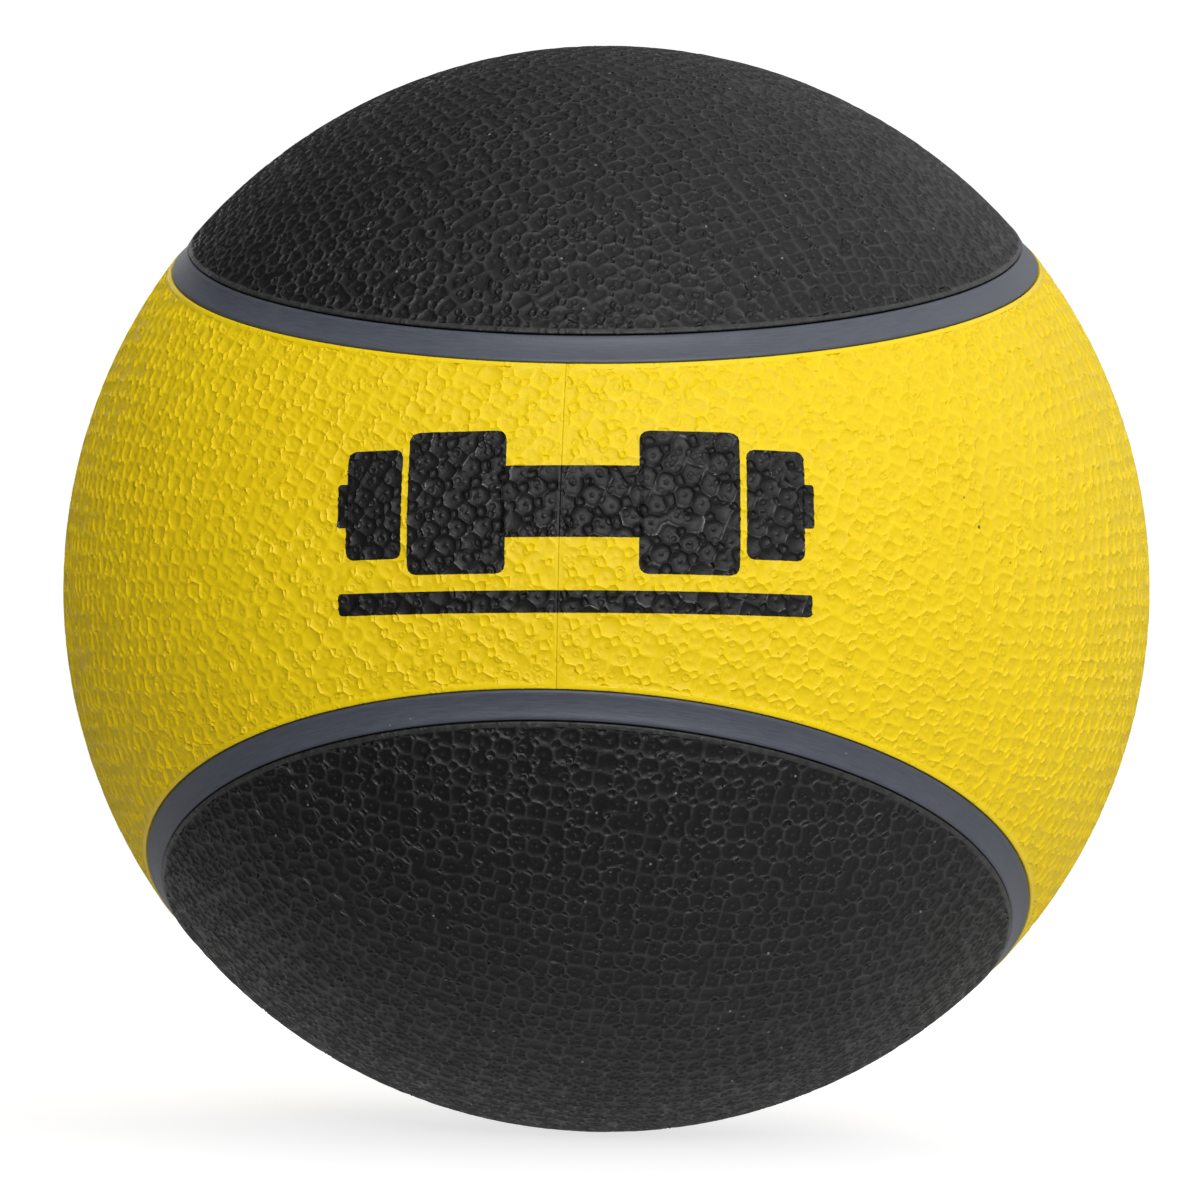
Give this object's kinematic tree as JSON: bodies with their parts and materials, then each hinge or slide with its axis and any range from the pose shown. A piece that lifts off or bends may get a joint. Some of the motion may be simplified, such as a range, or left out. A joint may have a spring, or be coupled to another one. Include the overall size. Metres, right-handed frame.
{
  "type": "medicine ball",
  "caption": "Heavy rubber exercise ball with a two-colour interlocking textured cover, a grey trim strip and an inflation valve.",
  "frame": {"origin": "centre of the ball", "axes": "+Z out along the inflation valve, -Y out through the middle of the yellow neck that carries the printed mark"},
  "size_m": [0.23, 0.23, 0.2297],
  "materials": {
    "yellow_rubber": "satin, moulded grain",
    "black_rubber": "matte, moulded grain",
    "grey_rubber": "satin, smooth",
    "heavy_rubber": "rough, moulded",
    "nylon_thread": "wound thread, rubberised",
    "butyl_rubber": "smooth",
    "patch_rubber": "matte",
    "valve_rubber": "satin"
  },
  "bodies": {
    "root": {"cover_yellow_left": "yellow_rubber", "cover_yellow_right": "yellow_rubber", "cover_black_top": "black_rubber", "cover_black_bottom": "black_rubber", "trim_strip": "grey_rubber", "carcass_upper": "heavy_rubber", "carcass_lower": "heavy_rubber", "thread_winding": "nylon_thread", "bladder": "butyl_rubber", "valve_patch": "patch_rubber", "balance_patch": "patch_rubber", "valve_housing": "valve_rubber", "valve_core": "valve_rubber"}
  },
  "joints": []
}
